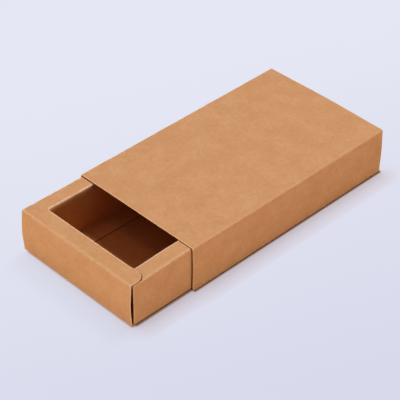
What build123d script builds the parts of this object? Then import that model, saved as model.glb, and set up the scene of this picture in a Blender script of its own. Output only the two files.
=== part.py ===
from build123d import *
import os

# Drawer gift box in kraft card: a sleeve, open at both ends, and a tray that slides through it.
# The sleeve and the tray are each one cut sheet, folded at its creases. Every panel between two
# creases is a piece of its own, and it keeps half of each bend that it shares with a neighbour.
# The origin is the middle of the sleeve's underside, +Z is up and the tray is pulled towards -Y.

# Sleeve, outside sizes
sleeve_width = 90.0
sleeve_length = 154.0
sleeve_height = 30.0

# Card, and the radius of its creases at the middle of its thickness
card = 0.5
crease_radius = 1.0
mouth_crease_radius = 0.6

# Glue seam, inside the sleeve's right wall
glue_flap_height = 13.0
glue_flap_setback = 2.0
glue_flap_taper = 4.0
glue_flap_corner = 2.0
glue_thickness = 0.1
glue_margin = 3.0

# Fit of the tray in the sleeve, and how far it stands open
side_play = 0.3
top_play = 0.5
end_play = 0.3
tray_open = 43.8

# Frame round the mouth of the tray, from the outer face to the edge of the mouth
side_rim_width = 10.0
end_rim_width = 11.0
tab_radius = 5.5

# Flaps that lie on the tray's base, from the edge of the mouth to their free edge
side_flap_width = 12.8
end_flap_width = 15.0
floor_flap_taper = 4.0
floor_flap_corner = 2.0

# Flaps that close the tray's corners, behind the end walls
corner_flap_width = 22.0
corner_flap_setback = 0.7
corner_flap_taper = 2.0
corner_flap_corner = 4.0

# Room between panels that pass each other
panel_clearance = 0.25

half_card = card / 2
outer_radius = crease_radius + half_card
mouth_radius = mouth_crease_radius + half_card
crease_inset = outer_radius * (1 - 2**-0.5)

# Sleeve panels, to the middle of their card, and the room between them
sleeve_wall_x = sleeve_width / 2 - half_card
sleeve_top_z = sleeve_height - half_card
glue_flap_x = sleeve_wall_x - card - glue_thickness
room_left = -sleeve_wall_x + half_card
room_right = glue_flap_x - half_card

# Tray, outside, and its mouth
tray_x = (room_left + room_right) / 2
tray_bottom = card
tray_top = sleeve_height - card - top_play
half_width = (room_right - room_left) / 2 - side_play
half_length = sleeve_length / 2 - end_play
mouth_half_width = half_width - side_rim_width
mouth_half_length = half_length - end_rim_width

# Tray panels, to the middle of their card: at the rims and on the base the ends lie on the sides
wall_x = half_width - half_card
wall_y = half_length - half_card
inner_wall_x = mouth_half_width + half_card
inner_wall_y = mouth_half_length + half_card
base_z = tray_bottom + half_card
side_flap_z = base_z + card
end_flap_z = side_flap_z + card
end_rim_z = tray_top - half_card
side_rim_z = end_rim_z - card

# Corner flaps stand just behind the end walls, clear of the creases above and below them
corner_flap_y = wall_y - card - corner_flap_setback
corner_flap_bottom = tray_bottom + outer_radius + panel_clearance
corner_flap_top = side_rim_z - half_card - panel_clearance

# Half lengths of the folded strips: each stops short of the creases that cross it
side_strip = corner_flap_y - crease_radius
base_strip = half_width - outer_radius
end_strip = half_width - crease_inset
mouth_strip = mouth_half_width - panel_clearance

# The folded sheets seen edge on, corner by corner
sleeve_path = [
    (sleeve_wall_x, 0),
    (sleeve_wall_x, sleeve_top_z),
    (-sleeve_wall_x, sleeve_top_z),
    (-sleeve_wall_x, half_card),
    (glue_flap_x, half_card),
    (glue_flap_x, glue_flap_height),
]
base_across = [(-wall_x, side_rim_z), (-wall_x, base_z), (wall_x, base_z), (wall_x, side_rim_z)]
base_along = [(-wall_y, end_rim_z), (-wall_y, base_z), (wall_y, base_z), (wall_y, end_rim_z)]
side_path = [
    (0, base_z),
    (wall_x, base_z),
    (wall_x, side_rim_z),
    (inner_wall_x, side_rim_z),
    (inner_wall_x, side_flap_z),
    (mouth_half_width - side_flap_width, side_flap_z),
]
end_path = [
    (0, base_z),
    (wall_y, base_z),
    (wall_y, end_rim_z),
    (inner_wall_y, end_rim_z),
    (inner_wall_y, end_flap_z),
    (mouth_half_length - end_flap_width, end_flap_z),
]
corner_path = [
    (half_width - corner_flap_width, -corner_flap_y),
    (wall_x, -corner_flap_y),
    (wall_x, corner_flap_y),
    (half_width - corner_flap_width, corner_flap_y),
]
outer_creases = [crease_radius] * len(sleeve_path)
tray_creases = [crease_radius, crease_radius, mouth_crease_radius, mouth_crease_radius]

# Panels of a folded tray side or end, counted along its path from the middle of the base
outer_wall_step, rim_step, inner_wall_step, floor_flap_step = range(1, 5)

# The sleeve is cut across; the tray is cut across, cut along, and seen from above
sleeve_across = Plane.XZ
tray_across = Plane((tray_x, -tray_open, 0), x_dir=(1, 0, 0), z_dir=(0, -1, 0))
tray_along = Plane((tray_x, -tray_open, 0), x_dir=(0, 1, 0), z_dir=(1, 0, 0))
tray_plan = Plane((tray_x, -tray_open, 0))


def half_turn(before, corner, after):
    """Half of a square crease in degrees, positive where the path turns to the left."""
    turn = (Vector(*corner) - Vector(*before)).cross(Vector(*after) - Vector(*corner))
    return 45 if turn.Z > 0 else -45


class PanelSection(BaseSketchObject):
    """One panel of a folded sheet seen edge on, with half of the bend at each of its creases."""

    def __init__(self, path, panel, creases, mode=Mode.ADD):
        start = Vector(*path[panel])
        end = Vector(*path[panel + 1])
        heading = (end - start).normalized()
        creased_start = panel > 0
        creased_end = panel + 2 < len(path)
        flat_start = start + heading * creases[panel - 1] if creased_start else start
        flat_end = end - heading * creases[panel] if creased_end else end
        with BuildSketch() as section:
            with BuildLine():
                Line(flat_start, flat_end)
                if creased_start:
                    turn = half_turn(path[panel + 1], path[panel], path[panel - 1])
                    JernArc(flat_start, -heading, creases[panel - 1], turn)
                if creased_end:
                    turn = half_turn(path[panel], path[panel + 1], path[panel + 2])
                    JernArc(flat_end, heading, creases[panel], turn)
            trace(line_width=card)
        super().__init__(obj=section.sketch, mode=mode)


class FlapOutline(BaseSketchObject):
    """A flap seen flat, from its root along Y to a narrower tip in +X with rounded corners."""

    def __init__(self, root, reach, taper, corner, rotation=0, mode=Mode.ADD):
        with BuildSketch() as outline:
            with BuildLine():
                Polyline((0, -root), (reach, taper - root), (reach, root - taper), (0, root), close=True)
            make_face()
            fillet(outline.vertices().group_by(Axis.X)[-1], corner)
        super().__init__(obj=outline.sketch, rotation=rotation, mode=mode)


def handed(path, hand):
    """A path for the right or back of the box, or turned over for the left or front."""
    return [(hand * across, up) for across, up in path]


def save(piece, name):
    piece.part.label = name
    export_step(piece.part, f"parts/{name}.step")


os.makedirs("parts", exist_ok=True)

# Sleeve: up the right wall, over the top, down the left wall and back along the bottom
sleeve_panels = ["sleeve_right_wall", "sleeve_top_panel", "sleeve_left_wall", "sleeve_bottom_panel"]
for panel, panel_name in enumerate(sleeve_panels):
    with BuildPart() as sleeve_panel:
        with BuildSketch(sleeve_across):
            PanelSection(sleeve_path, panel, outer_creases)
        extrude(amount=sleeve_length / 2, both=True)
    save(sleeve_panel, panel_name)

# The glue flap stands up from the bottom panel, inside the right wall
with BuildPart() as glue_flap:
    with BuildSketch(sleeve_across):
        PanelSection(sleeve_path, len(sleeve_panels), outer_creases)
    extrude(amount=sleeve_length / 2, both=True)
    with BuildSketch(Plane.YZ):
        root = sleeve_length / 2 - glue_flap_setback
        FlapOutline(root, glue_flap_height, glue_flap_taper, glue_flap_corner, rotation=90)
    extrude(amount=sleeve_width / 2, mode=Mode.INTERSECT)
save(glue_flap, "sleeve_glue_flap")

# The glue is a thin film between that flap and the wall
with BuildPart() as glue_line:
    with BuildSketch(Plane.YZ.offset(glue_flap_x + half_card)):
        glue_bottom = outer_radius + glue_margin
        glue_top = glue_flap_height - glue_margin
        glue_half_length = sleeve_length / 2 - glue_flap_setback - glue_flap_taper - glue_margin
        with Locations((0, (glue_bottom + glue_top) / 2)):
            Rectangle(2 * glue_half_length, glue_top - glue_bottom)
    extrude(amount=glue_thickness)
save(glue_line, "sleeve_glue_line")

# Tray base: creased along its four sides, with its corners cut away
with BuildPart() as tray_base:
    with BuildSketch(tray_across):
        PanelSection(base_across, 1, outer_creases)
    extrude(amount=side_strip, both=True)
    with BuildSketch(tray_along):
        PanelSection(base_along, 1, outer_creases)
    extrude(amount=base_strip, both=True)
save(tray_base, "tray_base")

# Tray sides: up the outer wall, in along the rim, down the inner wall and onto the base
for side, hand in (("left", -1), ("right", 1)):
    path = handed(side_path, hand)
    corners = handed(corner_path, hand)
    towards_middle = 90 + 90 * hand

    with BuildPart() as outer_wall:
        with BuildSketch(tray_across):
            PanelSection(path, outer_wall_step, tray_creases)
        extrude(amount=side_strip, both=True)
        with BuildSketch(tray_plan.offset(corner_flap_bottom)):
            PanelSection(corners, 1, outer_creases)
        extrude(amount=corner_flap_top - corner_flap_bottom)
    save(outer_wall, f"tray_{side}_outer_wall")

    for panel, panel_name in ((rim_step, "rim"), (inner_wall_step, "inner_wall")):
        with BuildPart() as side_panel:
            with BuildSketch(tray_across):
                PanelSection(path, panel, tray_creases)
            extrude(amount=side_strip, both=True)
        save(side_panel, f"tray_{side}_{panel_name}")

    with BuildPart() as floor_flap:
        with BuildSketch(tray_across):
            PanelSection(path, floor_flap_step, tray_creases)
        extrude(amount=side_strip, both=True)
        with BuildSketch(tray_plan):
            with Locations((hand * (mouth_half_width + card), 0)):
                reach = side_flap_width + card
                FlapOutline(side_strip, reach, floor_flap_taper, floor_flap_corner, towards_middle)
        extrude(amount=tray_top, mode=Mode.INTERSECT)
    save(floor_flap, f"tray_{side}_floor_flap")

    for end, panel in (("front", 0), ("back", 2)):
        with BuildPart() as corner_flap:
            with BuildSketch(tray_plan.offset(corner_flap_bottom)):
                PanelSection(corners, panel, outer_creases)
            extrude(amount=corner_flap_top - corner_flap_bottom)
            with BuildSketch(tray_across):
                with Locations((hand * half_width, (corner_flap_bottom + corner_flap_top) / 2)):
                    root = (corner_flap_top - corner_flap_bottom) / 2
                    FlapOutline(
                        root, corner_flap_width, corner_flap_taper, corner_flap_corner, towards_middle
                    )
            extrude(amount=half_length, both=True, mode=Mode.INTERSECT)
        save(corner_flap, f"tray_{end}_{side}_corner_flap")

# Tray ends: folded over the sides, so that their rims cover the corners and their flaps hold
# the side flaps down
for end, hand in (("front", -1), ("back", 1)):
    path = handed(end_path, hand)
    mouth_side = 0 if hand > 0 else -1
    towards_middle = -90 * hand

    with BuildPart() as outer_wall:
        with BuildSketch(tray_along):
            PanelSection(path, outer_wall_step, tray_creases)
        extrude(amount=half_width, both=True)
        with BuildSketch(tray_across):
            with Locations((0, (tray_bottom + tray_top) / 2)):
                outline = Rectangle(2 * half_width, tray_top - tray_bottom)
            low_corners, high_corners = outline.vertices().group_by(Axis.Y)
            fillet(low_corners, outer_radius)
            chamfer(high_corners, crease_inset)
        extrude(amount=half_length, both=True, mode=Mode.INTERSECT)
    save(outer_wall, f"tray_{end}_outer_wall")

    # Beyond the mouth the rim goes on as two rounded tabs, which lie on the side rims
    with BuildPart() as rim:
        with BuildSketch(tray_along):
            uncreased = path[:3] + [(hand * mouth_half_length, end_rim_z)]
            PanelSection(uncreased, rim_step, tray_creases)
        extrude(amount=end_strip, both=True)
        with BuildSketch(tray_plan):
            with Locations((0, hand * (mouth_half_length + half_length) / 2)):
                outline = Rectangle(2 * end_strip, end_rim_width)
            fillet(outline.vertices().group_by(Axis.Y)[mouth_side], tab_radius)
            with Locations((0, hand * (mouth_half_length + mouth_radius / 2))):
                Rectangle(2 * mouth_strip, mouth_radius, mode=Mode.SUBTRACT)
        extrude(amount=tray_top, mode=Mode.INTERSECT)
        with BuildSketch(tray_along):
            PanelSection(path, rim_step, tray_creases)
        extrude(amount=mouth_strip, both=True)
    save(rim, f"tray_{end}_rim")

    with BuildPart() as inner_wall:
        with BuildSketch(tray_along):
            PanelSection(path, inner_wall_step, tray_creases)
        extrude(amount=mouth_strip, both=True)
    save(inner_wall, f"tray_{end}_inner_wall")

    with BuildPart() as floor_flap:
        with BuildSketch(tray_along):
            PanelSection(path, floor_flap_step, tray_creases)
        extrude(amount=mouth_strip, both=True)
        with BuildSketch(tray_plan):
            with Locations((0, hand * (mouth_half_length + card))):
                reach = end_flap_width + card
                FlapOutline(mouth_strip, reach, floor_flap_taper, floor_flap_corner, towards_middle)
        extrude(amount=tray_top, mode=Mode.INTERSECT)
    save(floor_flap, f"tray_{end}_floor_flap")
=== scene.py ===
from math import ceil, pi, radians, sin, cos, sqrt

import bmesh
import bpy
from mathutils import Matrix, Vector


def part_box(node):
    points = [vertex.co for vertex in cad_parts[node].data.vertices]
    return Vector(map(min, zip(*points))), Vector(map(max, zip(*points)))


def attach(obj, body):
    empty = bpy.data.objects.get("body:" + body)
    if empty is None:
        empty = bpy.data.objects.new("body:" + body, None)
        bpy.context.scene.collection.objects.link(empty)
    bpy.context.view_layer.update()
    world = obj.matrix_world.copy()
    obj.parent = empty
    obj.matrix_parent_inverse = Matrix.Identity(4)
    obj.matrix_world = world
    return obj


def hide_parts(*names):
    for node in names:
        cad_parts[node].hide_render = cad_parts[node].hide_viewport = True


# Kraft card drawer box: a sleeve and a tray, each folded from one sheet of card.
# Every panel between two creases is cut flat here and then folded, bowed and given its
# thickness by one Geometry Nodes tree, so that neighbours meet at the middle of their crease.

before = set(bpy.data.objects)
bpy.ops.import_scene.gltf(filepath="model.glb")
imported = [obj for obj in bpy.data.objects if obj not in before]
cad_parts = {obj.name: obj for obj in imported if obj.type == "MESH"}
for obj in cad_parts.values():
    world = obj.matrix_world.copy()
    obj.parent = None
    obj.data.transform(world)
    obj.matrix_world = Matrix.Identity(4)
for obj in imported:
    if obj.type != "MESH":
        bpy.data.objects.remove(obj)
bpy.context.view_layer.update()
mm = 0.001
scene = bpy.context.scene


def addNode(tree, kind, inputs=None, **settings):
    # adds one node; an input is a value, a socket, or a node whose first output is taken
    made = tree.nodes.new(kind)
    for name, value in settings.items():
        setattr(made, name, value)
    for key, value in (inputs or {}).items():
        if isinstance(value, bpy.types.Node):
            value = value.outputs[0]
        if isinstance(value, bpy.types.NodeSocket):
            tree.links.new(value, made.inputs[key])
        else:
            made.inputs[key].default_value = value
    return made


def linearColour(hexCode):
    # an sRGB hex colour as linear red, green, blue and alpha
    channels = [int(hexCode[i:i + 2], 16) / 255 for i in (1, 3, 5)]
    linear = [c / 12.92 if c <= 0.04045 else ((c + 0.055) / 1.055) ** 2.4 for c in channels]
    return (*linear, 1.0)


# the photograph's viewpoint: angles in degrees, lengths in mm, focal length in frame pixels
camera = dict(framePixels=400, focalPixels=1579.8, sensor=36.0, azimuth=45.25, elevation=38.43,
              roll=0.51, distance=919.5, across=-19.6, up=-4.32, nearest=50.0, farthest=20000.0)


def placeCamera():
    azimuth, elevation, roll = (radians(camera[k]) for k in ("azimuth", "elevation", "roll"))
    back = Vector((sin(azimuth) * cos(elevation), -cos(azimuth) * cos(elevation), sin(elevation)))
    right = Vector((cos(azimuth), sin(azimuth), 0))
    up = back.cross(right)
    place = (back * camera["distance"] + right * camera["across"] + up * camera["up"]) * mm
    rolledRight = right * cos(roll) + up * sin(roll)
    rolledUp = up * cos(roll) - right * sin(roll)
    data = bpy.data.cameras.new("camera")
    data.sensor_width = camera["sensor"]
    data.lens = camera["focalPixels"] * camera["sensor"] / camera["framePixels"]
    data.clip_start, data.clip_end = camera["nearest"] * mm, camera["farthest"] * mm
    made = bpy.data.objects.new("camera", data)
    scene.collection.objects.link(made)
    axes = Matrix((rolledRight, rolledUp, back)).transposed().to_4x4()
    made.matrix_world = Matrix.Translation(place) @ axes
    scene.camera = made


placeCamera()
print("camera placed")

# Kraft paperboard, unbleached and calendered: a matt warm brown with soft clouds from the pulp,
# fine fibres lying mostly along the sheet's grain, and paler worn creases. Real fibres are
# about 0.03 mm wide, too fine to show here, so they are drawn as bundles of 0.45 mm. Clouds,
# mottle and wear patches are size in mm, detail and roughness of their noise; each set of
# fibres is degrees off the grain, tone, and the noise level above which it shows.
# inside is the painted-shade tint of the box's interior, slit the near black of painted shade in its
# slits, and worn is also a painted highlight along the mouth's creases
kraft = dict(base="#CB9669", dark="#C59061", light="#D09D70", worn="#E6BF9A", fleck="#9C6C42",
             inside="#FFEBD2", slit="#380C00", clouds=(11.0, 3.0, 0.55), mottle=(2.2, 3.0, 0.6),
             toneFrom=0.72, toneTo=1.28, fibreLength=4.5, fibreWidth=0.45, fibreTilt=17.0,
             fibres=((12.0, "light", 0.66), (-24.0, "dark", 0.66), (74.0, "light", 0.69)),
             fibreFade=0.1, fibreStrength=0.6, fleckSpacing=6.0, fleckFrom=0.11, fleckTo=0.03,
             fleckStrength=0.45, wearPatches=(2.4, 2.0, 0.5), wearFrom=0.3, wearTo=0.62,
             leastWear=0.25, roughness=(0.78, 0.92), depth=0.02, specular=0.15)
# The cut edge shows the board's loose inner fibres, paler and rougher than its faces, drawn
# coarser than they are for the same reason.
cutEdge = dict(tones=((0.3, "#D4A074"), (0.6, "#ECC096")), grain=0.7, roughness=(0.85, 0.95),
               depth=0.03, specular=0.2)
# White craft glue that has dried clear and yellowish, smoother than the card and a little glossy.
glue = dict(tones=((0.0, "#D4A074"), (1.0, "#D8B27A")), grain=1.5, roughness=(0.3, 0.5),
            depth=0.05, specular=0.5)
bumpStrength = 0.6


def inMillimetres(tree):
    coordinates = addNode(tree, "ShaderNodeTexCoord")
    return addNode(tree, "ShaderNodeVectorMath",
                   {0: coordinates.outputs["Object"], "Scale": 1 / mm}, operation="SCALE")


def newMaterial(name):
    made = bpy.data.materials.new(name)
    made.use_nodes = True
    made.node_tree.nodes.clear()
    return made, made.node_tree


def fillRamp(ramp, tones):
    # tones are a place on the ramp and a hex colour, from its start to its end
    stops = ramp.color_ramp.elements
    for place, hexCode in tones[1:-1]:
        stops.new(place)
    for stop, (place, hexCode) in zip(stops, tones):
        stop.position, stop.color = place, linearColour(hexCode)


def finishMaterial(tree, look, colour, pattern, height):
    # the roughness varies with the pattern, and the bump with the height
    least, most = look["roughness"]
    roughness = addNode(tree, "ShaderNodeMapRange", {"Value": pattern, "To Min": least, "To Max": most})
    bump = addNode(tree, "ShaderNodeBump",
                   {"Height": height, "Distance": look["depth"] * mm, "Strength": bumpStrength})
    shader = addNode(tree, "ShaderNodeBsdfPrincipled",
                     {"Base Color": colour, "Roughness": roughness, "Normal": bump,
                      "Specular IOR Level": look["specular"]})
    addNode(tree, "ShaderNodeOutputMaterial", {"Surface": shader})


def kraftCard():
    made, tree = newMaterial("kraftPaperboard")
    place = inMillimetres(tree)
    noises = {}
    for name in ("clouds", "mottle", "wearPatches"):
        size, detail, roughness = kraft[name]
        noises[name] = addNode(tree, "ShaderNodeTexNoise", {"Vector": place, "Scale": 1 / size,
                                                            "Detail": detail, "Roughness": roughness})
    mottle = noises["mottle"]
    tone = addNode(tree, "ShaderNodeMath", {0: noises["clouds"], 1: mottle}, operation="ADD")
    shade = addNode(tree, "ShaderNodeMapRange",
                    {"Value": tone, "From Min": kraft["toneFrom"], "From Max": kraft["toneTo"]})
    ramp = addNode(tree, "ShaderNodeValToRGB", {"Fac": shade})
    fillRamp(ramp, ((0.0, kraft["dark"]), (0.5, kraft["base"]), (1.0, kraft["light"])))

    # fibres: noise drawn out along the grain and across it, of which only the peaks show
    layers = []  # what lies over that tone: where it shows, its colour and how it is laid on
    for turn, colourName, lowest in kraft["fibres"]:
        drawn = addNode(tree, "ShaderNodeMapping",
                        {"Vector": place, "Rotation": (radians(kraft["fibreTilt"]), 0, radians(turn)),
                         "Scale": (1 / kraft["fibreWidth"], 1 / kraft["fibreLength"],
                                   1 / kraft["fibreWidth"])})
        strands = addNode(tree, "ShaderNodeTexNoise", {"Vector": drawn, "Scale": 1.0, "Detail": 1.0})
        fibre = addNode(tree, "ShaderNodeMapRange",
                        {"Value": strands, "From Min": lowest, "From Max": lowest + kraft["fibreFade"],
                         "To Max": kraft["fibreStrength"]})
        layers.append((fibre, colourName, "MIX"))
    height = addNode(tree, "ShaderNodeMath", {0: mottle, 1: layers[0][0]}, operation="ADD")

    # small dark flecks of bark
    cells = addNode(tree, "ShaderNodeTexVoronoi",
                    {"Vector": place, "Scale": 1 / kraft["fleckSpacing"]})
    fleck = addNode(tree, "ShaderNodeMapRange",
                    {"Value": cells.outputs["Distance"], "From Min": kraft["fleckFrom"],
                     "From Max": kraft["fleckTo"], "To Max": kraft["fleckStrength"]})

    # creases and cut edges are rubbed pale, in patches; at the mouth's crisp creases the paleness is
    # also a painted highlight
    worn = addNode(tree, "ShaderNodeAttribute", attribute_name="wear").outputs["Fac"]
    patchy = addNode(tree, "ShaderNodeMapRange",
                     {"Value": noises["wearPatches"], "From Min": kraft["wearFrom"],
                      "From Max": kraft["wearTo"], "To Min": kraft["leastWear"]})
    rubbed = addNode(tree, "ShaderNodeMath", {0: worn, 1: patchy}, operation="MULTIPLY")

    # painted shade: inside the box, at 1, the card is tinted a darker, redder brown for the shade there,
    # and from there to 2, in the slits where panels close on each other, painted shade makes it nearly
    # black
    inside = addNode(tree, "ShaderNodeAttribute", attribute_name="inside").outputs["Fac"]
    paintedSlitShade = addNode(tree, "ShaderNodeMath", {0: inside, 1: 1.0}, operation="SUBTRACT", use_clamp=True)
    layers += [(fleck, "fleck", "MIX"), (rubbed, "worn", "MIX"), (inside, "inside", "MULTIPLY"),
               (paintedSlitShade, "slit", "MIX")]
    colour = ramp.outputs["Color"]
    for share, colourName, way in layers:
        blend = addNode(tree, "ShaderNodeMix",
                        {"Factor": share, 6: colour, 7: linearColour(kraft[colourName])},
                        data_type="RGBA", blend_type=way)
        colour = blend.outputs[2]
    finishMaterial(tree, kraft, colour, mottle, height)
    return made


def fineGrained(name, look):
    # one fine noise carries the tone, the roughness and the bump
    made, tree = newMaterial(name)
    grain = addNode(tree, "ShaderNodeTexNoise",
                    {"Vector": inMillimetres(tree), "Scale": 1 / look["grain"], "Detail": 2.0})
    ramp = addNode(tree, "ShaderNodeValToRGB", {"Fac": grain})
    fillRamp(ramp, look["tones"])
    finishMaterial(tree, look, ramp, grain, grain)
    return made


materials = dict(card=kraftCard(), edge=fineGrained("kraftPaperboardCutEdge", cutEdge),
                 glue=fineGrained("driedCraftGlue", glue))
print("materials:", ", ".join(m.name for m in materials.values()))

# The card, in mm. A crease is half of a right-angled bend on each of its two panels. Warps are
# the unevenness of flat card and of its looser creases, which starts above the floor. Springs
# and bulges of a side grow from the one height to the other. Wear, the mouth's painted highlight
# and painted shade are 0 to 1, or more where they reach their full tone early.
card = dict(thickness=0.5, crease=1.0, mouthCrease=0.6, cornerCrease=0.5, bendSteps=7,
            cornerSteps=7, grid=3.0, fineGrid=0.35, edgeRows=(0.22, 0.6), weld=0.0005,
            sharpAngle=40.0, bowRoundness=1.6, flapCurl=2.0, tabCurl=4.0, warp=0.1, warpSize=26.0,
            creaseWarp=0.35, creaseWarpSize=9.0, levelFrom=2.0, levelHeight=9.0, wornEdge=0.45,
            edgeWear=1.0, creaseWear=0.5, mouthWearAndHighlight=1.9, wornBefore=0.4, paintedShadeFade=2.5,
            cornerShadeFrom=0.4, slitShade=2.0, springFrom=10.0, springTo=27.0, bulgeFrom=4.0,
            bulgeTo=24.0, seed=7.0)
halfBend = pi / 4


def creaseBendGroup():
    # how far a point past the crease reaches, rises and leans once it lies on the bend, and how
    # worn and loose the card is there
    group = bpy.data.node_groups.new("creaseBend", "GeometryNodeTree")
    for name in ("Past", "Radius", "Fold"):
        group.interface.new_socket(name, in_out="INPUT", socket_type="NodeSocketFloat")
    for name in ("Reach", "Rise", "Lean", "Upright", "Wear", "Loose"):
        group.interface.new_socket(name, in_out="OUTPUT", socket_type="NodeSocketFloat")
    given = addNode(group, "NodeGroupInput").outputs
    past = addNode(group, "ShaderNodeMath", {0: given["Past"], 1: 0.0}, operation="MAXIMUM")
    angle = addNode(group, "ShaderNodeMath", {0: past, 1: given["Radius"]}, operation="DIVIDE")
    sine = addNode(group, "ShaderNodeMath", {0: angle}, operation="SINE")
    cosine = addNode(group, "ShaderNodeMath", {0: angle}, operation="COSINE")
    reach = addNode(group, "ShaderNodeMath", {0: sine, 1: given["Radius"]}, operation="MULTIPLY")
    turned = addNode(group, "ShaderNodeMath", {0: 1.0, 1: cosine}, operation="SUBTRACT")
    lifted = addNode(group, "ShaderNodeMath", {0: turned, 1: given["Radius"]}, operation="MULTIPLY")
    rise = addNode(group, "ShaderNodeMath", {0: lifted, 1: given["Fold"]}, operation="MULTIPLY")
    lean = addNode(group, "ShaderNodeMath", {0: sine, 1: given["Fold"]}, operation="MULTIPLY")
    bendLength = addNode(group, "ShaderNodeMath", {0: given["Radius"], 1: halfBend}, operation="MULTIPLY")
    wear = addNode(group, "ShaderNodeMapRange",
                   {"Value": given["Past"], "From Min": -card["wornBefore"] * mm, "From Max": bendLength})
    softness = addNode(group, "ShaderNodeMapRange",
                       {"Value": given["Radius"], "From Min": card["cornerCrease"] * mm,
                        "From Max": card["crease"] * mm})
    loose = addNode(group, "ShaderNodeMath", {0: wear, 1: softness}, operation="MULTIPLY")
    addNode(group, "NodeGroupOutput",
            {"Reach": reach, "Rise": rise, "Lean": lean, "Upright": cosine, "Wear": wear, "Loose": loose})
    return group


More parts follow.
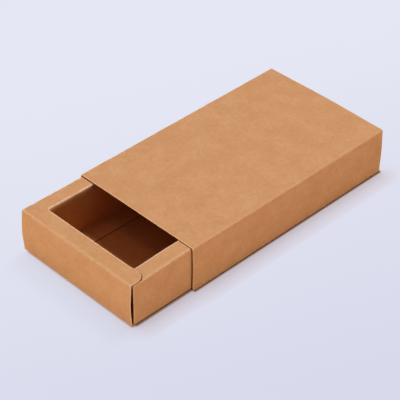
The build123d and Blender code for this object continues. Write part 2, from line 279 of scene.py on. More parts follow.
def foldedCardTree():
    tree = bpy.data.node_groups.new("foldedCard", "GeometryNodeTree")
    sockets = dict(
        Geometry=("Geometry",),
        Float=("Thickness", "Far Crease", "Side Crease", "Near Fold", "Far Fold", "Side Fold",
               "Near Radius", "Far Radius", "Side Radius", "Half Length", "Bow Start", "Bow End",
               "Lift", "Tab Lift", "Warp", "Warp Size", "Crease Warp", "Crease Warp Size",
               "Level Height", "Worn Edge", "Edge Wear", "Crease Wear", "Mouth Wear And Highlight",
               "Painted Shade Near", "Painted Shade Far", "Painted Shade Fade", "Painted Shade Back", "Painted Corner Shade",
               "Spring", "Spring Start", "Spring Full", "Bulge", "Bulge Start", "Bulge Full",
               "Bulge End", "Seed"),
        Vector=("Place", "Turn"), Material=("Card", "Cut Edge"))
    for kind, names in sockets.items():
        for name in names:
            tree.interface.new_socket(name, in_out="INPUT", socket_type="NodeSocket" + kind)
    tree.interface.new_socket("Geometry", in_out="OUTPUT", socket_type="NodeSocketGeometry")
    given = addNode(tree, "NodeGroupInput").outputs
    stored = {}  # what the blank's points carry, and what is stored on them below
    for name, kind in (("stayFlat", "FLOAT"), ("toEdge", "FLOAT"), ("shaded", "FLOAT"),
                       ("cardFacing", "FLOAT_VECTOR"), ("paintedShadeFront", "FLOAT"),
                       ("cutFace", "BOOLEAN")):
        stored[name] = addNode(tree, "GeometryNodeInputNamedAttribute", {"Name": name}, data_type=kind)

    # the flat blank: x runs along the creases, y across them from the near crease at 0
    position = addNode(tree, "GeometryNodeInputPosition")
    flat = addNode(tree, "ShaderNodeSeparateXYZ", {0: position}).outputs
    farCrease = addNode(tree, "ShaderNodeMath",
                        {0: given["Far Crease"], 1: stored["stayFlat"]}, operation="ADD")
    farPast = addNode(tree, "ShaderNodeMath", {0: flat["Y"], 1: farCrease}, operation="SUBTRACT")
    nearPast = addNode(tree, "ShaderNodeMath", {0: 0.0, 1: flat["Y"]}, operation="SUBTRACT")
    sideways = addNode(tree, "ShaderNodeMath", {0: flat["X"]}, operation="ABSOLUTE")
    sign = addNode(tree, "ShaderNodeMath", {0: flat["X"]}, operation="SIGN")
    sidePast = addNode(tree, "ShaderNodeMath",
                       {0: sideways, 1: given["Side Crease"]}, operation="SUBTRACT")
    bendGroup = creaseBendGroup()
    bends = {}
    for name, past in (("Near", nearPast), ("Far", farPast), ("Side", sidePast)):
        bends[name] = addNode(tree, "GeometryNodeGroup",
                              {"Past": past, "Radius": given[name + " Radius"],
                               "Fold": given[name + " Fold"]}, node_tree=bendGroup).outputs

    # across: the flat part, then what the two bends add at its ends
    capped = addNode(tree, "ShaderNodeMath", {0: flat["Y"], 1: farCrease}, operation="MINIMUM")
    kept = addNode(tree, "ShaderNodeMath", {0: capped, 1: 0.0}, operation="MAXIMUM")
    farther = addNode(tree, "ShaderNodeMath", {0: kept, 1: bends["Far"]["Reach"]}, operation="ADD")
    across = addNode(tree, "ShaderNodeMath",
                     {0: farther, 1: bends["Near"]["Reach"]}, operation="SUBTRACT")
    sideKept = addNode(tree, "ShaderNodeMath",
                       {0: sideways, 1: given["Side Crease"]}, operation="MINIMUM")
    sideReach = addNode(tree, "ShaderNodeMath",
                        {0: sideKept, 1: bends["Side"]["Reach"]}, operation="ADD")
    along = addNode(tree, "ShaderNodeMath", {0: sideReach, 1: sign}, operation="MULTIPLY")

    # the card's own shape: bowed between its creases, lifted at a free edge or at a tab's tip
    share = addNode(tree, "ShaderNodeMapRange", {"Value": flat["Y"], "From Max": given["Far Crease"]})
    halfTurn = addNode(tree, "ShaderNodeMath", {0: share, 1: pi}, operation="MULTIPLY")
    arch = addNode(tree, "ShaderNodeMath", {0: halfTurn}, operation="SINE")
    softArch = addNode(tree, "ShaderNodeMath", {0: arch, 1: card["bowRoundness"]}, operation="POWER")
    lengthShare = addNode(tree, "ShaderNodeMath",
                          {0: flat["X"], 1: given["Half Length"]}, operation="DIVIDE")
    bow = addNode(tree, "ShaderNodeMapRange",
                  {"Value": lengthShare, "From Min": -1.0, "From Max": 1.0,
                   "To Min": given["Bow Start"], "To Max": given["Bow End"]})
    held = addNode(tree, "ShaderNodeMath", {0: lengthShare, 1: lengthShare}, operation="MULTIPLY")
    free = addNode(tree, "ShaderNodeMath", {0: 1.0, 1: held}, operation="SUBTRACT")
    tip = addNode(tree, "ShaderNodeMath", {0: share, 1: card["flapCurl"]}, operation="POWER")
    atEnds = addNode(tree, "ShaderNodeMath", {0: held, 1: card["tabCurl"]}, operation="POWER")
    oneSided = addNode(tree, "ShaderNodeMath", {0: sign, 1: 0.0}, operation="MAXIMUM")
    rise = 0.0
    for amount, shares in ((bow, (softArch,)), (given["Lift"], (free, tip)),
                           (given["Tab Lift"], (atEnds, tip, oneSided))):
        for part in shares:
            amount = addNode(tree, "ShaderNodeMath", {0: amount, 1: part}, operation="MULTIPLY")
        rise = addNode(tree, "ShaderNodeMath", {0: rise, 1: amount}, operation="ADD")
    upright = 1.0
    for bend in bends.values():
        rise = addNode(tree, "ShaderNodeMath", {0: rise, 1: bend["Rise"]}, operation="ADD")
        upright = addNode(tree, "ShaderNodeMath", {0: upright, 1: bend["Upright"]}, operation="MULTIPLY")
    folded = addNode(tree, "ShaderNodeCombineXYZ", {0: along, 1: across, 2: rise})

    # which way the card faces at each point
    leanAcross = addNode(tree, "ShaderNodeMath",
                         {0: bends["Near"]["Lean"], 1: bends["Far"]["Lean"]}, operation="SUBTRACT")
    leanSide = addNode(tree, "ShaderNodeMath", {0: bends["Side"]["Lean"], 1: sign}, operation="MULTIPLY")
    leanAlong = addNode(tree, "ShaderNodeMath", {0: 0.0, 1: leanSide}, operation="SUBTRACT")
    facing = addNode(tree, "ShaderNodeCombineXYZ", {0: leanAlong, 1: leanAcross, 2: upright})

    # wear: the strip beside a cut edge, and the outside of creases, most at the mouth's crisp ones,
    # where it is also a painted highlight
    wear = addNode(tree, "ShaderNodeMapRange",
                   {"Value": stored["toEdge"], "From Max": given["Worn Edge"],
                    "To Min": given["Edge Wear"], "To Max": 0.0})
    slack = 0.0
    for name, bend in bends.items():
        crispness = addNode(tree, "ShaderNodeMapRange",
                            {"Value": given[name + " Radius"], "From Min": card["mouthCrease"] * mm,
                             "From Max": card["crease"] * mm, "To Min": given["Mouth Wear And Highlight"],
                             "To Max": given["Crease Wear"]})
        outwards = addNode(tree, "ShaderNodeMath",
                           {0: given[name + " Fold"], 1: 0.0}, operation="LESS_THAN")
        rubbed = addNode(tree, "ShaderNodeMath", {0: bend["Wear"], 1: crispness}, operation="MULTIPLY")
        rubbed = addNode(tree, "ShaderNodeMath", {0: rubbed, 1: outwards}, operation="MULTIPLY")
        wear = addNode(tree, "ShaderNodeMath", {0: wear, 1: rubbed}, operation="MAXIMUM")
        creased = addNode(tree, "ShaderNodeMath", {0: given[name + " Fold"]}, operation="ABSOLUTE")
        loosened = addNode(tree, "ShaderNodeMath", {0: bend["Loose"], 1: creased}, operation="MULTIPLY")
        slack = addNode(tree, "ShaderNodeMath", {0: slack, 1: loosened}, operation="MAXIMUM")

    # painted shade: how dark each face is tinted for lying inside the box, and near black toward the
    # tip of a side bend, as in the slit where it turns in
    fading = addNode(tree, "ShaderNodeMapRange",
                     {"Value": flat["Y"], "From Max": given["Painted Shade Fade"],
                      "To Min": given["Painted Shade Near"], "To Max": given["Painted Shade Far"]})
    paintedCornerShade = addNode(tree, "ShaderNodeMapRange",
                     {"Value": bends["Side"]["Wear"], "From Min": card["cornerShadeFrom"],
                      "To Max": given["Painted Corner Shade"]})
    paintedShadeLevel = addNode(tree, "ShaderNodeMath", {0: fading, 1: paintedCornerShade}, operation="MAXIMUM")
    paintedShadeFront = addNode(tree, "ShaderNodeMath", {0: paintedShadeLevel, 1: stored["shaded"]}, operation="MAXIMUM")

    # set in its place on the box
    turn = addNode(tree, "FunctionNodeEulerToRotation", {0: given["Turn"]})
    turned = addNode(tree, "FunctionNodeRotateVector", {"Vector": folded, "Rotation": turn})
    placed = addNode(tree, "ShaderNodeVectorMath", {0: turned, 1: given["Place"]}, operation="ADD")
    normal = addNode(tree, "FunctionNodeRotateVector", {"Vector": facing, "Rotation": turn})

    # towards its top, a side that is free of the sleeve springs up and bulges
    up = addNode(tree, "ShaderNodeSeparateXYZ", {0: placed}).outputs["Z"]
    loose = {}
    for name, limits in (
            ("Spring", ((up, card["springFrom"] * mm, card["springTo"] * mm),
                        (sideways, given["Spring Start"], given["Spring Full"]))),
            ("Bulge", ((up, card["bulgeFrom"] * mm, card["bulgeTo"] * mm),
                       (flat["X"], given["Bulge Start"], given["Bulge Full"]),
                       (flat["X"], given["Bulge End"], given["Bulge Full"])))):
        loose[name] = given[name]
        for value, start, full in limits:
            part = addNode(tree, "ShaderNodeMapRange",
                           {"Value": value, "From Min": start, "From Max": full},
                           interpolation_type="SMOOTHSTEP")
            loose[name] = addNode(tree, "ShaderNodeMath", {0: loose[name], 1: part}, operation="MULTIPLY")
    sprung = addNode(tree, "ShaderNodeCombineXYZ", {0: loose["Bulge"], 2: loose["Spring"]})
    placed = addNode(tree, "ShaderNodeVectorMath", {0: placed, 1: sprung}, operation="ADD")

    # the slight unevenness of folded card, broad on its faces and finer along its creases, and
    # none where it stands on the floor
    height = addNode(tree, "ShaderNodeSeparateXYZ", {0: placed}).outputs["Z"]
    level = addNode(tree, "ShaderNodeMapRange",
                    {"Value": height, "From Min": card["levelFrom"] * mm,
                     "From Max": given["Level Height"]})
    slack = addNode(tree, "ShaderNodeMath", {0: slack, 1: level}, operation="MULTIPLY")
    settled = placed
    for name, share in (("Warp", level), ("Crease Warp", slack)):
        fineness = addNode(tree, "ShaderNodeMath", {0: 1.0, 1: given[name + " Size"]}, operation="DIVIDE")
        waves = addNode(tree, "ShaderNodeTexNoise",
                        {"Vector": placed, "Scale": fineness, "W": given["Seed"], "Detail": 1.0},
                        noise_dimensions="4D")
        centred = addNode(tree, "ShaderNodeVectorMath",
                          {0: waves.outputs["Color"], 1: (0.5, 0.5, 0.5)}, operation="SUBTRACT")
        amount = addNode(tree, "ShaderNodeMath", {0: share, 1: given[name]}, operation="MULTIPLY")
        warped = addNode(tree, "ShaderNodeVectorMath", {0: centred, "Scale": amount}, operation="SCALE")
        settled = addNode(tree, "ShaderNodeVectorMath", {0: settled, 1: warped}, operation="ADD")
    marked = given["Geometry"]
    for name, value, kind in (("wear", wear, "FLOAT"), ("cardFacing", normal, "FLOAT_VECTOR"),
                              ("paintedShadeFront", paintedShadeFront, "FLOAT"),
                              ("inside", given["Painted Shade Back"], "FLOAT")):
        marked = addNode(tree, "GeometryNodeStoreNamedAttribute",
                         {"Geometry": marked, "Name": name, "Value": value}, data_type=kind)
    middle = addNode(tree, "GeometryNodeSetPosition", {"Geometry": marked, "Position": settled})

    # thickness: the back face, and the front face with the cut edges between them
    backward = addNode(tree, "ShaderNodeMath", {0: given["Thickness"], 1: -0.5}, operation="MULTIPLY")
    toBack, toFront = (addNode(tree, "ShaderNodeVectorMath", {0: stored["cardFacing"], "Scale": amount},
                               operation="SCALE") for amount in (backward, given["Thickness"]))
    back = addNode(tree, "GeometryNodeSetPosition", {"Geometry": middle, "Offset": toBack})
    flipped = addNode(tree, "GeometryNodeFlipFaces", {0: back})
    raised = addNode(tree, "GeometryNodeExtrudeMesh",
                     {"Mesh": back, "Offset Scale": 0.0, "Individual": False})
    front = addNode(tree, "GeometryNodeSetPosition",
                    {"Geometry": raised, "Selection": raised.outputs["Top"], "Offset": toFront})
    toned = addNode(tree, "GeometryNodeStoreNamedAttribute",
                    {"Geometry": front, "Selection": raised.outputs["Top"], "Name": "inside",
                     "Value": stored["paintedShadeFront"]}, data_type="FLOAT")
    sided = addNode(tree, "GeometryNodeStoreNamedAttribute",
                    {"Geometry": toned, "Name": "cutFace", "Value": raised.outputs["Side"]},
                    data_type="BOOLEAN", domain="FACE")
    both = addNode(tree, "GeometryNodeJoinGeometry")
    for half in (flipped, sided):
        tree.links.new(half.outputs[0], both.inputs[0])
    closed = addNode(tree, "GeometryNodeMergeByDistance",
                     {"Geometry": both, "Distance": card["weld"] * mm})

    # smooth faces, sharp cut edges
    smooth = addNode(tree, "GeometryNodeSetShadeSmooth", {"Geometry": closed}, domain="FACE")
    bent = addNode(tree, "GeometryNodeInputMeshEdgeAngle")
    sharp = addNode(tree, "FunctionNodeCompare", {"A": bent, "B": radians(card["sharpAngle"])},
                    data_type="FLOAT", operation="GREATER_THAN")
    edged = addNode(tree, "GeometryNodeSetShadeSmooth",
                    {"Geometry": smooth, "Selection": sharp, "Shade Smooth": False}, domain="EDGE")
    real = addNode(tree, "GeometryNodeRealizeInstances", {"Geometry": edged})
    covered = addNode(tree, "GeometryNodeSetMaterial", {"Geometry": real, "Material": given["Card"]})
    finished = addNode(tree, "GeometryNodeSetMaterial",
                       {"Geometry": covered, "Selection": stored["cutFace"],
                        "Material": given["Cut Edge"]})
    addNode(tree, "NodeGroupOutput", {0: finished})
    return tree


cardTree = foldedCardTree()
print("folding tree:", len(cardTree.nodes), "nodes")

pointValues = ("toEdge", "stayFlat", "shaded")  # carried by each point of a flat blank
nearly = 1e-8  # metres
beyond = 1.0  # metres, further than any point: for a side with no cut edge or no crease


def ladder(marks):
    # the marks, and between them even steps none wider than the grid; all in metres
    steps = [marks[0]]
    for start, end in zip(marks, marks[1:]):
        count = max(1, ceil((end - start) / (card["grid"] * mm)))
        steps += [start + (end - start) * (i + 1) / count for i in range(count)]
    return steps


def inward(start, end):
    # marks that follow a cut edge closely, from the edge inwards, at both ends
    near = [start + e * mm for e in card["edgeRows"]]
    far = [end - e * mm for e in reversed(card["edgeRows"])]
    return [start, *near, *far, end]


def arcSteps(start, radius, way):
    # rows over half a bend, outward from the crease
    count = card["bendSteps"]
    steps = [start + way * radius * halfBend * (i + 1) / count for i in range(count)]
    return steps if way > 0 else steps[::-1]


def addBlock(blank, rows, leftAt, rightAt, shares, toEdgeAt, flatBeyond=beyond, shadedAt=None):
    # a patch of quads: rows run across the creases, and each is spread between its two ends
    layers = [blank.verts.layers.float[name] for name in pointValues]
    grid = []
    for y in rows:
        left, right = leftAt(y), rightAt(y)
        line = []
        for share in shares:
            x = left + (right - left) * share
            point = blank.verts.new((x, y, 0))
            values = (toEdgeAt(x, y), float(y > flatBeyond), shadedAt(x, y) if shadedAt else 0.0)
            for layer, value in zip(layers, values):
                point[layer] = value
            line.append(point)
        grid.append(line)
    for lower, upper in zip(grid, grid[1:]):
        for i in range(len(shares) - 1):
            blank.faces.new((lower[i], lower[i + 1], upper[i + 1], upper[i]))


def sharesOf(half, fineEnds=0):
    # even shares of a strip's length, closer at its two cut ends and finer there if asked
    marks = inward(-half, half)
    steps = [card["fineGrid"] * mm * i for i in range(1, int(fineEnds / (card["fineGrid"] * mm)))]
    marks += [half - step for step in steps] + [step - half for step in steps]
    return [(x + half) / (2 * half) for x in ladder(sorted(marks))]


def cutBlank(name, panel):
    # the panel's flat outline as quads, in metres, with its near crease at y = 0
    blank = bmesh.new()
    for layer in pointValues:
        blank.verts.layers.float.new(layer)
    length, half = panel["length"], panel["half"]
    outline = panel.get("outline", lambda y: half)
    ears = panel.get("ears")  # what the panel has at its two ends: bends or flat tabs
    marks = inward(0, length) + panel.get("rowMarks", []) + (ears["rows"] if ears else [])
    rows = ladder(sorted(set(round(m, 9) for m in marks)))
    if panel["nearFold"]:
        rows = arcSteps(0, panel["nearRadius"], -1) + rows
    flatRows = list(rows)
    if panel["farFold"]:
        rows = rows + arcSteps(length, panel["farRadius"], 1)
    lowest, highest = rows[0], rows[-1]

    def toEdgeAt(x, y):
        besideEars = ears and ears["rows"][0] <= y <= ears["rows"][1]
        reach = beyond if besideEars else outline(y) - abs(x)
        low = beyond if panel["nearFold"] else y - lowest
        high = beyond if panel["farFold"] else highest - y
        return max(0.0, min(reach, low, high))

    if not ears:
        shares = sharesOf(half, panel.get("fineEnds", 0))
        addBlock(blank, rows, lambda y: -outline(y), outline, shares, toEdgeAt,
                 shadedAt=panel.get("shadedAt"))
    elif ears["kind"] == "bends":
        start, crease = ears["start"], panel["sideCrease"]
        addBlock(blank, rows, lambda y: -start, lambda y: start, sharesOf(start), toEdgeAt)
        earRows = [y for y in rows if ears["rows"][0] - nearly <= y <= ears["rows"][1] + nearly]
        columns = [start] if crease > start + nearly else []
        columns += [crease] + arcSteps(crease, panel["sideRadius"], 1)
        end = columns[-1]
        shares = [(x - start) / (end - start) for x in columns]
        addBlock(blank, earRows, lambda y: start, lambda y: end, shares, lambda x, y: beyond)
        addBlock(blank, earRows, lambda y: -end, lambda y: -start, [1 - s for s in reversed(shares)],
                 lambda x, y: beyond)
    else:
        start, tabEnd = ears["start"], ears["tabEnd"]
        tabRows = flatRows + [length + (tabEnd - length) * s for s in tray["tabRows"]]
        crisp = length - 2 * card["wornBefore"] * mm  # where the tabs stop sharing the crease
        shares = [*tray["tabColumns"], *(1 - e * mm / (half - start) for e in tray["tabEdge"]), 1]

        def toTabEdge(x, y):
            return max(0.0, min(outline(y) - abs(x), tabEnd - y if abs(x) > start else beyond))

        addBlock(blank, rows, lambda y: -start, lambda y: start, sharesOf(start), lambda x, y: beyond)
        addBlock(blank, tabRows, lambda y: start, outline, shares, toTabEdge, crisp)
        addBlock(blank, tabRows, lambda y: -outline(y), lambda y: -start,
                 [1 - s for s in reversed(shares)], lambda x, y: beyond, crisp)
    bmesh.ops.remove_doubles(blank, verts=blank.verts, dist=10 * nearly)
    mesh = bpy.data.meshes.new(name + ".blank")
    blank.to_mesh(mesh)
    blank.free()
    return mesh


def flapOutline(panel, taper, corner, steps=card["cornerSteps"], tip=None):
    # narrows from its root to its tip, whose two corners are rounded; taper and corner in mm
    half, length = panel["half"], panel["length"]
    tip, radius = tip or length, corner * mm

    def halfAt(y):
        tapered = half - taper * mm * max(0.0, y) / length
        into = y - (tip - radius)
        if into <= 0:
            return tapered
        return tapered - radius + sqrt(max(0.0, radius**2 - into**2))

    panel["outline"] = halfAt
    marks = [tip - radius * (1 - sin(pi / 2 * i / steps)) for i in range(steps)]
    panel["rowMarks"] = [m for m in marks if m < length]


def readPanel(node, across, outward, folds, creases=("crease",) * 3, farInset=None):
    # a panel's flat size and place, from the box of its CAD node and the way it folds: across it
    # lie its near and far creases, and a fold is -1 backwards, 1 forwards or 0 for a cut edge
    across, outward = Vector(across), Vector(outward)
    along = across.cross(outward)
    low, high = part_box(node)
    ends = {}
    for name, axis in (("across", across), ("along", along), ("outward", outward)):
        ends[name] = sorted((low.dot(axis), high.dot(axis)))
    near, far, side = folds
    nearRadius, farRadius, sideRadius = (card[name] * mm for name in creases)
    half = card["thickness"] * mm / 2
    inset = sin(halfBend)
    start = ends["across"][0] + ((nearRadius + half) * inset if near else 0)
    stop = ends["across"][1] - ((farRadius + half) * inset if far else 0)
    if farInset is not None:
        stop = ends["across"][1] - farInset
    raised = [r for fold, r in ((near, nearRadius), (far, farRadius)) if fold > 0]
    stands = max([(r + half) - (r - half) * inset - 2 * half for r in raised], default=0)
    middle = sum(ends["along"]) / 2
    halfLength = (ends["along"][1] - ends["along"][0]) / 2
    panel = dict(node=node, nearFold=near, farFold=far, sideFold=side, nearRadius=nearRadius,
                 farRadius=farRadius, sideRadius=sideRadius, length=stop - start, half=halfLength,
                 sideCrease=halfLength - (sideRadius + half) * inset if side else beyond)
    panel["place"] = along * middle + across * start + outward * (ends["outward"][1] - half - stands)
    panel["turn"] = Matrix((along, across, outward)).transposed().to_euler()
    return panel


# painted shade on a panel's front at its near edge and beyond it, and on its back: 0 none, 1 the
# darker, redder tint for lying inside the box, 2 near black as in a slit
outerPanelShade, innerPanelShade, hiddenPanelShade = (0, 0, 1), (0, 1, 1), (1, 1, 1)
# no spring and no bulge, for a panel that is held; the tray's settings say what they are
heldSpring, heldBulge = (0.0, 70.0, 60.0), (0.0, 76.0, 62.0, 36.0)


def foldPanel(panel, body, bow=(0, 0), lift=0.0, tabLift=0.0, spring=heldSpring, bulge=heldBulge,
              inside=outerPanelShade, creaseWear=card["creaseWear"]):
    # cuts and folds one panel in place of its CAD node; bow and lifts are in mm
    name = panel["node"] + "_card"
    source = bpy.data.objects.new(name + ".source", cutBlank(name, panel))
    scene.collection.objects.link(source)
    modifier = source.modifiers.new("fold", "NODES")
    modifier.node_group = cardTree
    lengths = {"Thickness": card["thickness"], "Bow Start": bow[0], "Bow End": bow[1], "Lift": lift,
               "Tab Lift": tabLift, "Warp": card["warp"], "Warp Size": card["warpSize"],
               "Crease Warp": card["creaseWarp"], "Crease Warp Size": card["creaseWarpSize"],
               "Level Height": card["levelHeight"], "Worn Edge": card["wornEdge"],
               "Painted Shade Fade": card["paintedShadeFade"],
               **dict(zip(("Spring", "Spring Start", "Spring Full"), spring)),
               **dict(zip(("Bulge", "Bulge Start", "Bulge Full", "Bulge End"), bulge))}
    numbers = {"Far Crease": panel["length"], "Side Crease": panel["sideCrease"],
               "Half Length": panel["half"], "Edge Wear": card["edgeWear"], "Crease Wear": creaseWear,
               "Mouth Wear And Highlight": card["mouthWearAndHighlight"], "Painted Shade Near": inside[0], "Painted Shade Far": inside[1],
               "Painted Shade Back": inside[2], "Painted Corner Shade": card["slitShade"], "Seed": card["seed"],
               **{name: length * mm for name, length in lengths.items()}}
    for place in ("near", "far", "side"):
        for kind in ("Fold", "Radius"):
            numbers[f"{place.title()} {kind}"] = panel[place + kind]
    others = {"Place": list(panel["place"]), "Turn": list(panel["turn"]),
              "Card": materials["card"], "Cut Edge": materials["edge"]}
    for socket in cardTree.interface.items_tree:
        if socket.name in numbers:
            modifier[socket.identifier] = float(numbers[socket.name])
        elif socket.name in others:
            modifier[socket.identifier] = others[socket.name]
    source.update_tag()
    bpy.context.view_layer.update()
    evaluated = source.evaluated_get(bpy.context.evaluated_depsgraph_get())
    mesh = bpy.data.meshes.new_from_object(evaluated)
    bpy.data.objects.remove(source)
    piece = bpy.data.objects.new(name, mesh)
    mesh.name = name
    scene.collection.objects.link(piece)
    for spare in (*pointValues, "cardFacing", "paintedShadeFront", "cutFace"):
        mesh.attributes.remove(mesh.attributes[spare])
    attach(piece, body)
    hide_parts(panel["node"])


xAxis, yAxis, zAxis = Vector((1, 0, 0)), Vector((0, 1, 0)), Vector((0, 0, 1))

# the sleeve's panels bow a little once the tray has been in and out; mm at the -Y and +Y ends
sleeve = dict(rightBow=(0.35, 0.45), leftBow=(0.3, 0.3), topBow=(0.05, 0.6), bottomBow=(0, 0),
              flapTaper=4.0, flapCorner=2.0, creaseWear=0.2)


def alongY(panel, bow):
    # a bow given at the -Y and +Y ends, in the panel's own direction
    along = panel["turn"].to_matrix() @ xAxis
    return bow if along.y > 0 else bow[::-1]


def makeSleeve():
    for name, across, outward, near in (
            ("right_wall", zAxis, xAxis, 0), ("top_panel", -xAxis, zAxis, -1),
            ("left_wall", -zAxis, -xAxis, -1), ("bottom_panel", xAxis, -zAxis, -1)):
        panel = readPanel("sleeve_" + name, across, outward, (near, -1, 0))
        bow = alongY(panel, sleeve[name.split("_")[0] + "Bow"])
        foldPanel(panel, "sleeve", bow=bow, creaseWear=sleeve["creaseWear"])
    flap = readPanel("sleeve_glue_flap", zAxis, xAxis, (-1, 0, 0))
    flapOutline(flap, sleeve["flapTaper"], sleeve["flapCorner"])
    foldPanel(flap, "sleeve", inside=hiddenPanelShade)


makeSleeve()
print("sleeve folded")

# The tray, in mm: how its flaps narrow and are rounded, how its walls bow at the two ends of
# their length, and how far its flaps and the near tab lift. A spring is how much higher a
# side's rim stands, and between which distances from the middle of its length that grows. A
# bulge is how far a side moves along X, and where it starts, is full and has faded out again:
# from the middle towards the front on the left side, and towards the back on the right.
tray = dict(flapTaper=4.0, flapCorner=2.0, cornerTaper=2.0, cornerCorner=4.0, tabRadius=5.5,
            tabSteps=12, tabRows=(0.35, 0.7, 0.92, 1.0), tabColumns=(0, 0.25, 0.5, 0.75),
            # tabShade (mm) and tabDark set the painted shade beside the right rim's tab
            tabEdge=(0.9, 0.4, 0.15), tabLift=0.4, tabShade=0.8, tabDark=1.35,
            frontBow=(0.85, 0.75), backBow=(0.4, 0.4), sideBow=(0.12, 0.12),
            leftFlapLift=0.9, rightFlapLift=0.3,
            leftSpring=(0.45, 74.0, 64.5), rightSpring=(0.65, 64.0, 44.0),
            leftBulge=(-0.3, 76.5, 70.0, 36.0), rightBulge=(0.0, 75.0, 64.0, 36.0))
# which radii the tray's panels have at their near, far and side creases
trayCreases = dict(sideWall=("crease", "crease", "cornerCrease"), corner=("cornerCrease",) * 3,
                   rim=("crease", "mouthCrease", "crease"),
                   inside=("mouthCrease", "mouthCrease", "crease"))


def makeBase():
    base = readPanel("tray_base", xAxis, -zAxis, (-1, -1, -1))
    low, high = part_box("tray_left_rim")
    base["ears"] = dict(kind="bends", start=(high.y - low.y) / 2, rows=[0.0, base["length"]])
    foldPanel(base, "tray")


def shadeUnderTabs(rim, side):
    # the end rims' rounded tabs lie on this rim, which gets finer rows near them; on the right rim
    # painted shade darkens it under the tab and just beyond
    low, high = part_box(f"tray_{side}_rim")
    tabEdge = (low.y + high.y) / 2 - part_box("tray_front_rim")[1].y
    outerEdge = (rim["nearRadius"] + card["thickness"] * mm / 2) * sin(halfBend)
    radius = tray["tabRadius"] * mm

    def shadedAt(x, y):
        fromEdge, fromSide = abs(x) - tabEdge, y + outerEdge
        into = min(fromEdge, fromSide)
        if fromEdge < radius and fromSide < radius:
            into = radius - sqrt((radius - fromEdge) ** 2 + (radius - fromSide) ** 2)
        return card["slitShade"] * max(0.0, min(1.0, tray["tabDark"] + into / (tray["tabShade"] * mm)))

    if side == "right":
        rim["shadedAt"] = shadedAt
    rim["fineEnds"] = rim["half"] - tabEdge + 2 * tray["tabShade"] * mm
    steps = int(rim["length"] / (card["fineGrid"] * mm))
    rim["rowMarks"] = [rim["length"] * i / steps for i in range(1, steps)]


def makeInside(place, outward, lift=0.0, **free):
    # the inner wall that hangs from a rim, and the flap that it ends in on the base
    inner = readPanel(f"tray_{place}_inner_wall", -zAxis, -outward, (-1, 1, 0), trayCreases["inside"])
    foldPanel(inner, "tray", inside=innerPanelShade, **free)
    flap = readPanel(f"tray_{place}_floor_flap", -outward, zAxis, (1, 0, 0), trayCreases["inside"])
    flapOutline(flap, tray["flapTaper"], tray["flapCorner"])
    foldPanel(flap, "tray", lift=lift, inside=hiddenPanelShade)


def makeSide(side, hand):
    outward = xAxis * hand
    wall = readPanel(f"tray_{side}_outer_wall", zAxis, outward, (-1, -1, -1), trayCreases["sideWall"])
    low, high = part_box(f"tray_front_{side}_corner_flap")
    bottom = wall["place"].z
    wall["ears"] = dict(kind="bends", start=wall["sideCrease"], rows=[low.z - bottom, high.z - bottom])
    free = dict(spring=tray[side + "Spring"], bulge=tray[side + "Bulge"])
    foldPanel(wall, "tray", bow=tray["sideBow"], **free)
    rim = readPanel(f"tray_{side}_rim", -outward, zAxis, (-1, -1, 0), trayCreases["rim"])
    shadeUnderTabs(rim, side)
    foldPanel(rim, "tray", **free)
    makeInside(side, outward, tray[side + "FlapLift"], **free)
    for end, way in (("front", -1), ("back", 1)):
        corner = readPanel(f"tray_{end}_{side}_corner_flap", -outward, yAxis * way, (-1, 0, 0),
                           trayCreases["corner"])
        flapOutline(corner, tray["cornerTaper"], tray["cornerCorner"])
        # painted shade: the corner flap's front starts near black, as in the slit it closes with the end
        # wall
        foldPanel(corner, "tray", inside=(card["slitShade"], 1, 1))


def makeEnd(end, way):
    outward = yAxis * way
    outerRadius = (card["crease"] + card["thickness"] / 2) * mm
    mouthRadius = (card["mouthCrease"] + card["thickness"] / 2) * mm
    chamfer = outerRadius * (1 - sin(halfBend))

    wall = readPanel(f"tray_{end}_outer_wall", zAxis, outward, (-1, -1, 0))
    lowest = -wall["nearRadius"] * halfBend
    highest = wall["length"] + wall["farRadius"] * halfBend

    def wallHalf(y):
        up, down = y - lowest, highest - y
        rounded = outerRadius - sqrt(max(0.0, outerRadius**2 - max(0.0, outerRadius - up) ** 2))
        return wall["half"] - rounded - max(0.0, chamfer - down)

    wall["outline"] = wallHalf
    foldPanel(wall, "tray", bow=tray[end + "Bow"])

    rim = readPanel(f"tray_{end}_rim", -outward, zAxis, (-1, -1, 0), trayCreases["rim"],
                    farInset=mouthRadius)
    low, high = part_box(f"tray_{end}_inner_wall")
    tabEnd = rim["length"] + mouthRadius
    flapOutline(rim, 0.0, tray["tabRadius"], tray["tabSteps"], tabEnd)
    rim["ears"] = dict(kind="tabs", start=(high.x - low.x) / 2, tabEnd=tabEnd, rows=[])
    foldPanel(rim, "tray", tabLift=tray["tabLift"])
    makeInside(end, outward)


makeBase()
for side, hand in (("left", -1), ("right", 1)):
    makeSide(side, hand)
for end, way in (("front", -1), ("back", 1)):
    makeEnd(end, way)
print("tray folded")


def makeGlue():
    # the film keeps its CAD shape, which is hidden in the seam
    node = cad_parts["sleeve_glue_line"]
    node.data.materials.clear()
    node.data.materials.append(materials["glue"])


makeGlue()
print("glue line finished")

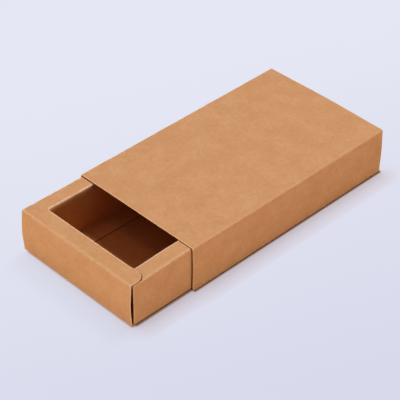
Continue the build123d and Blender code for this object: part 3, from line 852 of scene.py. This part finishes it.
# a pale sheet of studio paper, a little darker towards the viewer's right; the shadow is the
# soft dark that gathers where the box comes close to it, and leans to one side. Reaches and
# the floor's drop are in mm, its size and the fade in metres.
studio = dict(floorSize=4.0, floorDrop=0.02, pale="#E5E7F4", shaded="#D6D8EB", fadeFrom=-0.16,
              fadeTo=0.26, fadeDirection=(0.93, -0.37, 0), bounce="#DCC4B0", litShare=0.08,
              shadowLean=(-0.72, -0.6, 0.35), shadowSamples=16,
              contact=dict(reach=2.1, tones=((0.0, "#341804"), (0.45, "#5C3418"), (0.62, "#A07A60"),
                                             (0.8, "#E2CFC0"), (0.95, "#FFFFFF"), (1.0, "#FFFFFF"))),
              nearby=dict(reach=14.0, tones=((0.0, "#C8B8AC"), (0.45, "#E2D6CE"), (0.65, "#F4ECE8"),
                                             (0.85, "#FBF5F2"), (1.0, "#FFFFFF"))),
              skyColour="#FFFFFF", sky=0.12)
# four broad soft lights: strength, width in degrees, colour and the direction they come from
suns = dict(top=(2.69, 20.0, "#FFFFFF", (-0.1, 0.46, 0.88)),
            front=(2.3, 20.0, "#FFF8EC", (-0.3, -0.95, 0.1)),
            side=(1.93, 6.0, "#FFF0E0", (1.0, 0.05, 0.0)),
            fill=(0.16, 16.0, "#FFB484", (-0.2, -0.2, 0.96)))


def seenDirectly(tree):
    # 1 for rays that show a surface to the viewer, 0 for rays that carry its light to the box
    paths = addNode(tree, "ShaderNodeLightPath").outputs
    direct = addNode(tree, "ShaderNodeMath",
                     {0: paths["Is Camera Ray"], 1: paths["Is Glossy Ray"]}, operation="ADD")
    return addNode(tree, "ShaderNodeMath", {0: direct, 1: paths["Is Transmission Ray"]},
                   operation="ADD", use_clamp=True)


def makeFloor():
    size, height = studio["floorSize"] / 2, -studio["floorDrop"] * mm
    mesh = bpy.data.meshes.new("studioFloor")
    corners = [(-size, -size, height), (size, -size, height), (size, size, height), (-size, size, height)]
    mesh.from_pydata(corners, [], [(0, 1, 2, 3)])
    floor = bpy.data.objects.new("studioFloor", mesh)
    scene.collection.objects.link(floor)
    made, tree = newMaterial("mattStudioPaper")
    coordinates = addNode(tree, "ShaderNodeTexCoord")
    distance = addNode(tree, "ShaderNodeVectorMath",
                       {0: coordinates.outputs["Object"], 1: studio["fadeDirection"]},
                       operation="DOT_PRODUCT")
    fade = addNode(tree, "ShaderNodeMapRange",
                   {"Value": distance.outputs["Value"], "From Min": studio["fadeFrom"],
                    "From Max": studio["fadeTo"]}, interpolation_type="SMOOTHSTEP")
    paper = addNode(tree, "ShaderNodeMix",
                    {"Factor": fade, 6: linearColour(studio["pale"]), 7: linearColour(studio["shaded"])},
                    data_type="RGBA")
    lean = addNode(tree, "ShaderNodeVectorMath", {0: studio["shadowLean"]}, operation="NORMALIZE")
    seen = paper.outputs[2]
    for shade in (studio["contact"], studio["nearby"]):
        openness = addNode(tree, "ShaderNodeAmbientOcclusion",
                           {"Distance": shade["reach"] * mm, "Normal": lean},
                           samples=studio["shadowSamples"])
        shadow = addNode(tree, "ShaderNodeValToRGB", {"Fac": openness.outputs["AO"]})
        shadow.color_ramp.interpolation = "EASE"
        fillRamp(shadow, shade["tones"])
        seen = addNode(tree, "ShaderNodeMix", {"Factor": 1.0, 6: seen, 7: shadow},
                       data_type="RGBA", blend_type="MULTIPLY").outputs[2]
    direct = seenDirectly(tree)
    lit = addNode(tree, "ShaderNodeBsdfDiffuse", {"Color": seen})
    plain = addNode(tree, "ShaderNodeEmission", {"Color": seen})
    shown = addNode(tree, "ShaderNodeMixShader", {0: studio["litShare"], 1: plain, 2: lit})
    bounced = addNode(tree, "ShaderNodeBsdfDiffuse", {"Color": linearColour(studio["bounce"])})
    mixed = addNode(tree, "ShaderNodeMixShader", {0: direct, 1: bounced, 2: shown})
    addNode(tree, "ShaderNodeOutputMaterial", {"Surface": mixed})
    mesh.materials.append(made)


def addSun(name, strength, width, hexCode, towards):
    data = bpy.data.lights.new(name + "Light", "SUN")
    data.energy = strength
    data.angle = radians(width)
    data.color = linearColour(hexCode)[:3]
    sun = bpy.data.objects.new(name + "Light", data)
    scene.collection.objects.link(sun)
    sun.rotation_mode = "QUATERNION"
    sun.rotation_quaternion = Vector(towards).to_track_quat("Z", "Y")


def lightStudio():
    world = bpy.data.worlds.new("studio")
    scene.world = world
    world.use_nodes = True
    tree = world.node_tree
    tree.nodes.clear()
    light = addNode(tree, "ShaderNodeBackground",
                    {"Color": linearColour(studio["skyColour"]), "Strength": studio["sky"]})
    seen = addNode(tree, "ShaderNodeBackground", {"Color": linearColour(studio["pale"])})
    mixed = addNode(tree, "ShaderNodeMixShader", {0: seenDirectly(tree), 1: light, 2: seen})
    addNode(tree, "ShaderNodeOutputWorld", {"Surface": mixed})
    for name, light in suns.items():
        addSun(name, *light)


makeFloor()
lightStudio()
scene.view_settings.view_transform = "Standard"
print("studio lit")
